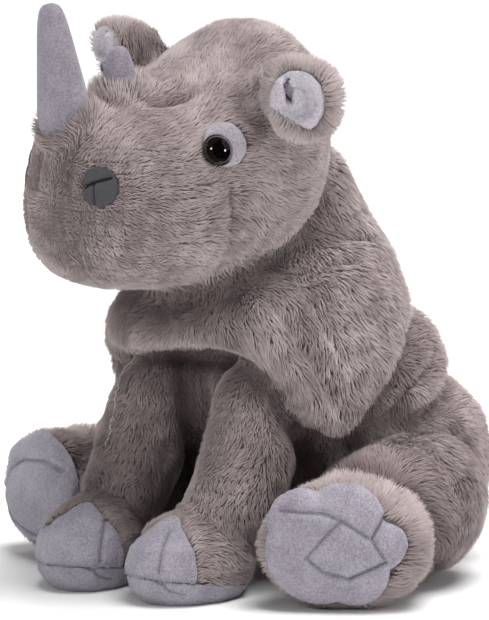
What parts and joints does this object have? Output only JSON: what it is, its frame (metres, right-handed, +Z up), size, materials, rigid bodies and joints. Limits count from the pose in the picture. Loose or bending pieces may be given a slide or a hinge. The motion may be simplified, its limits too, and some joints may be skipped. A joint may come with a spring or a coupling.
{
  "type": "plush rhinoceros",
  "caption": "Seated stuffed plush rhinoceros with fur body, smooth fabric horns, toe caps and soles, ear linings, felt nostrils and glossy eyes.",
  "frame": {"origin": "on the floor, under the middle of the toy's bounding box", "axes": "+Z up; the toy faces -Y, so its own left side is +X; its head turns nine degrees towards its right"},
  "size_m": [0.2618, 0.2784, 0.2872],
  "materials": {
    "taupe_plush": "soft taupe-grey pile fabric, about 9 mm deep",
    "lavender_minky": "short-nap lavender-grey minky",
    "charcoal_felt": "matte charcoal felt",
    "eye_plastic": "gloss"
  },
  "bodies": {
    "root": {"head": "taupe_plush", "neck": "taupe_plush", "shoulders": "taupe_plush", "trunk": "taupe_plush", "rump": "taupe_plush", "tail": "taupe_plush", "ear_left": "taupe_plush", "ear_right": "taupe_plush", "front_leg_left": "taupe_plush", "front_leg_right": "taupe_plush", "front_foot_left": "taupe_plush", "front_foot_right": "taupe_plush", "hind_leg_left": "taupe_plush", "hind_leg_right": "taupe_plush", "horn_front": "lavender_minky", "horn_rear": "lavender_minky", "ear_lining_left": "lavender_minky", "ear_lining_right": "lavender_minky", "eye_patch_left": "lavender_minky", "eye_patch_right": "lavender_minky", "toe_cap_left": "lavender_minky", "toe_cap_right": "lavender_minky", "front_sole_left": "lavender_minky", "front_sole_right": "lavender_minky", "hind_sole_left": "lavender_minky", "hind_sole_right": "lavender_minky", "nostril_left": "charcoal_felt", "nostril_right": "charcoal_felt", "eye_left": "eye_plastic", "eye_right": "eye_plastic"}
  },
  "joints": []
}
